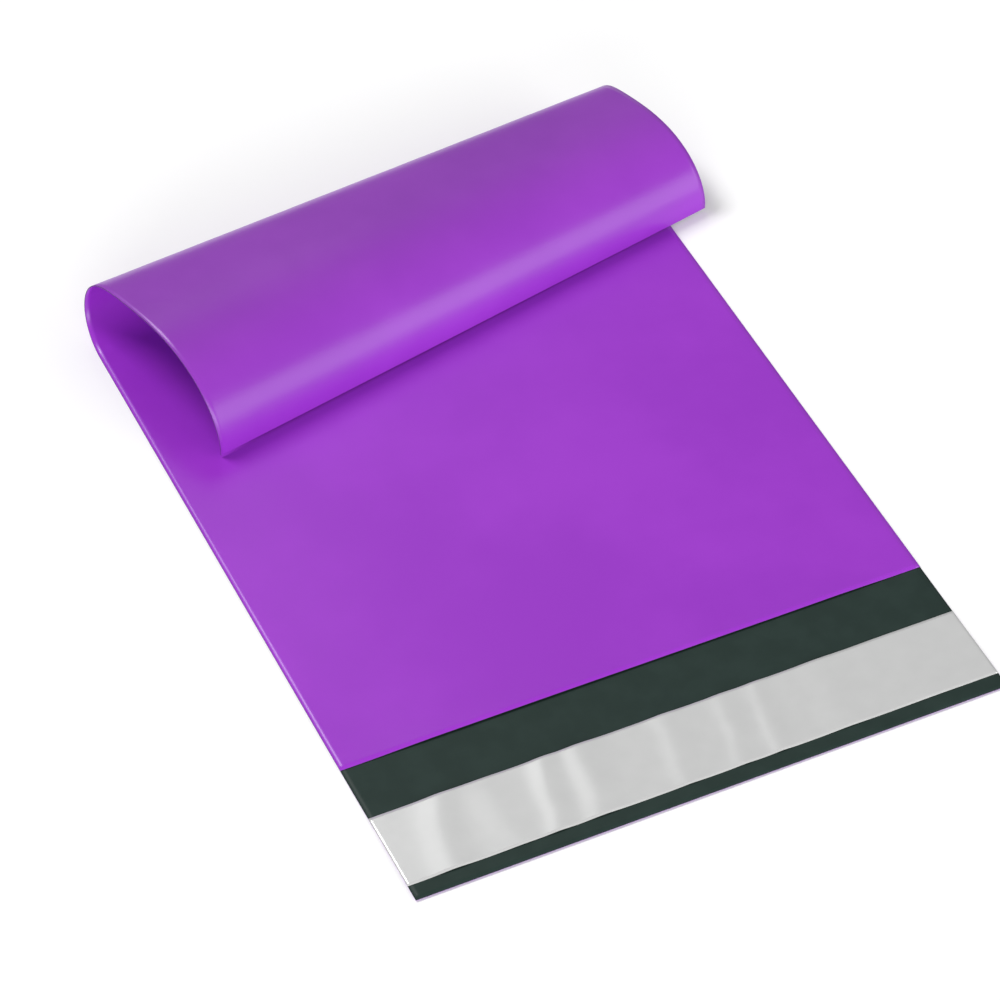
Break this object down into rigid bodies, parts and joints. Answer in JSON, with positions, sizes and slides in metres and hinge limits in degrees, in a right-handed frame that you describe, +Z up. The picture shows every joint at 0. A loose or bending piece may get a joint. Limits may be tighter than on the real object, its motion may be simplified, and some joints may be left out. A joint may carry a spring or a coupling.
{
  "type": "poly mailer bag",
  "caption": "Thin plastic film mailing envelope lying flat with its closed end curled over, an open mouth, and a flap with a lined adhesive strip.",
  "frame": {"origin": "middle of the footprint, on the surface that the bag lies on", "axes": "+X across the bag, +Y from the flap's free edge towards the closed end, +Z up from the front panel"},
  "size_m": [0.1634, 0.2228, 0.0232],
  "materials": {
    "film": "semi-gloss purple film outside, dark green-grey inside",
    "adhesive": "tacky translucent hot melt",
    "liner": "silvery satin film with soft buckles"
  },
  "bodies": {
    "root": {"film_bag": "film", "adhesive_strip": "adhesive", "release_liner": "liner"}
  },
  "joints": []
}
